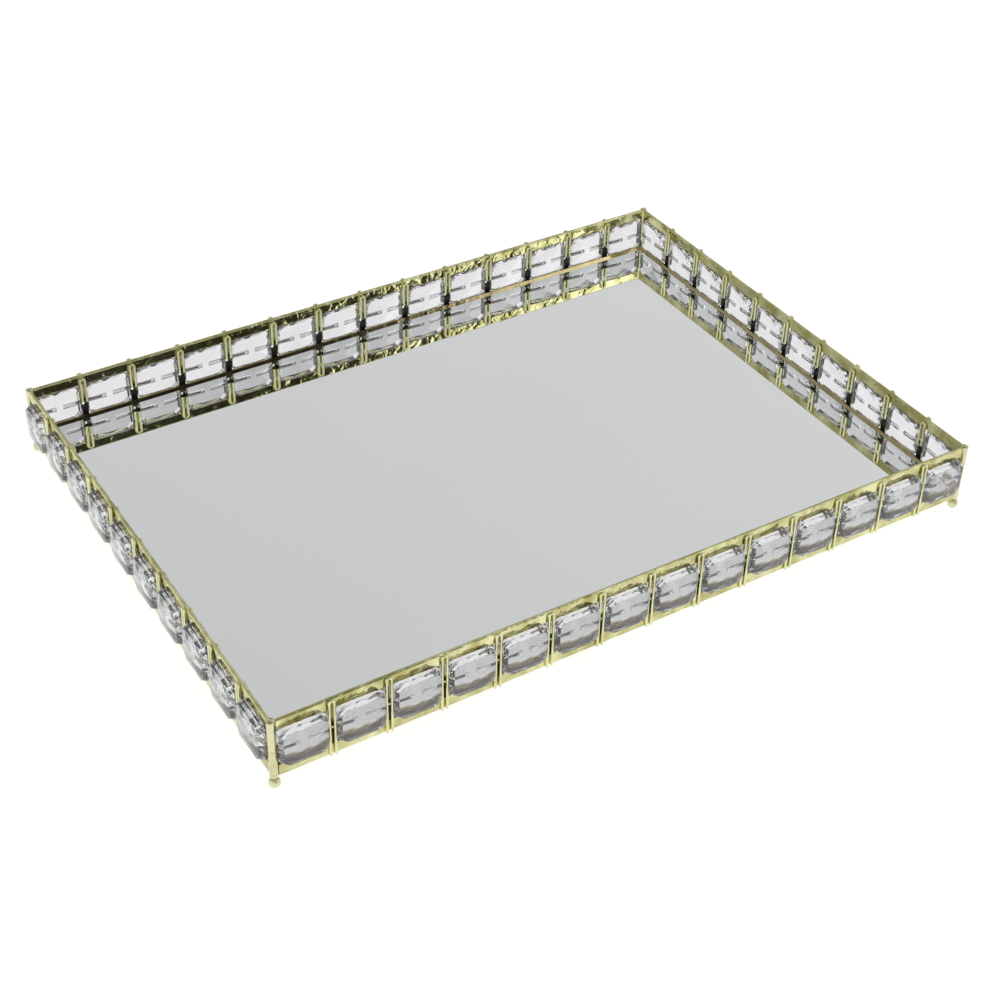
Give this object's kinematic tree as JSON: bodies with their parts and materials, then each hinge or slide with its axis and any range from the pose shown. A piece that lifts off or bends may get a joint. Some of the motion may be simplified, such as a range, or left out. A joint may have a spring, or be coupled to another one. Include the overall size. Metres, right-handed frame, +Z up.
{
  "type": "mirrored vanity tray",
  "caption": "Rectangular mirror tray with a low wall of faceted clear crystals held in a pale gold wire frame, standing on small ball feet.",
  "frame": {"origin": "on the floor, in the middle of the four feet and of the tray's outline", "axes": "+X along the long side, +Y along the short side towards the rear wall, +Z up out of the mirror"},
  "size_m": [0.3608, 0.2642, 0.0353],
  "materials": {
    "gold_plate": "pale lemon gold plating on steel strip, glossy with slight ripples",
    "gold_wire": "pale gold plated wire, glossy",
    "gold_foot": "polished pale gold ball",
    "stud_steel": "zinc plated threaded stud",
    "pin_metal": "dark brown aged wire",
    "crystal": "clear faceted glass, polished",
    "mirror": "silvered float glass",
    "rim": "thin gold plated strip round the mirror's edge, glossy",
    "spacer": "black rubber block",
    "tape": "white double sided foam tape",
    "board": "raw hardboard",
    "felt": "black felt"
  },
  "bodies": {
    "root": {"top_rail_front": "gold_plate", "top_rail_rear": "gold_plate", "top_rail_left": "gold_plate", "top_rail_right": "gold_plate", "bottom_rail_front": "gold_plate", "bottom_rail_rear": "gold_plate", "bottom_rail_left": "gold_plate", "bottom_rail_right": "gold_plate", "corner_post_front_left": "gold_plate", "corner_post_front_right": "gold_plate", "corner_post_rear_left": "gold_plate", "corner_post_rear_right": "gold_plate", "foot_front_left": "gold_foot", "foot_front_right": "gold_foot", "foot_rear_left": "gold_foot", "foot_rear_right": "gold_foot", "foot_studs": "stud_steel", "dividers_front": "gold_wire", "dividers_rear": "gold_wire", "dividers_left": "gold_wire", "dividers_right": "gold_wire", "crystal_pins_front": "pin_metal", "crystal_pins_rear": "pin_metal", "crystal_pins_left": "pin_metal", "crystal_pins_right": "pin_metal", "crystals_front": "crystal", "crystals_rear": "crystal", "crystals_left": "crystal", "crystals_right": "crystal", "spacers_front": "spacer", "spacers_rear": "spacer", "spacers_left": "spacer", "spacers_right": "spacer", "mirror": "mirror", "mirror_rim": "rim", "mirror_tape": "tape", "backing_board": "board", "base_felt": "felt"}
  },
  "joints": []
}
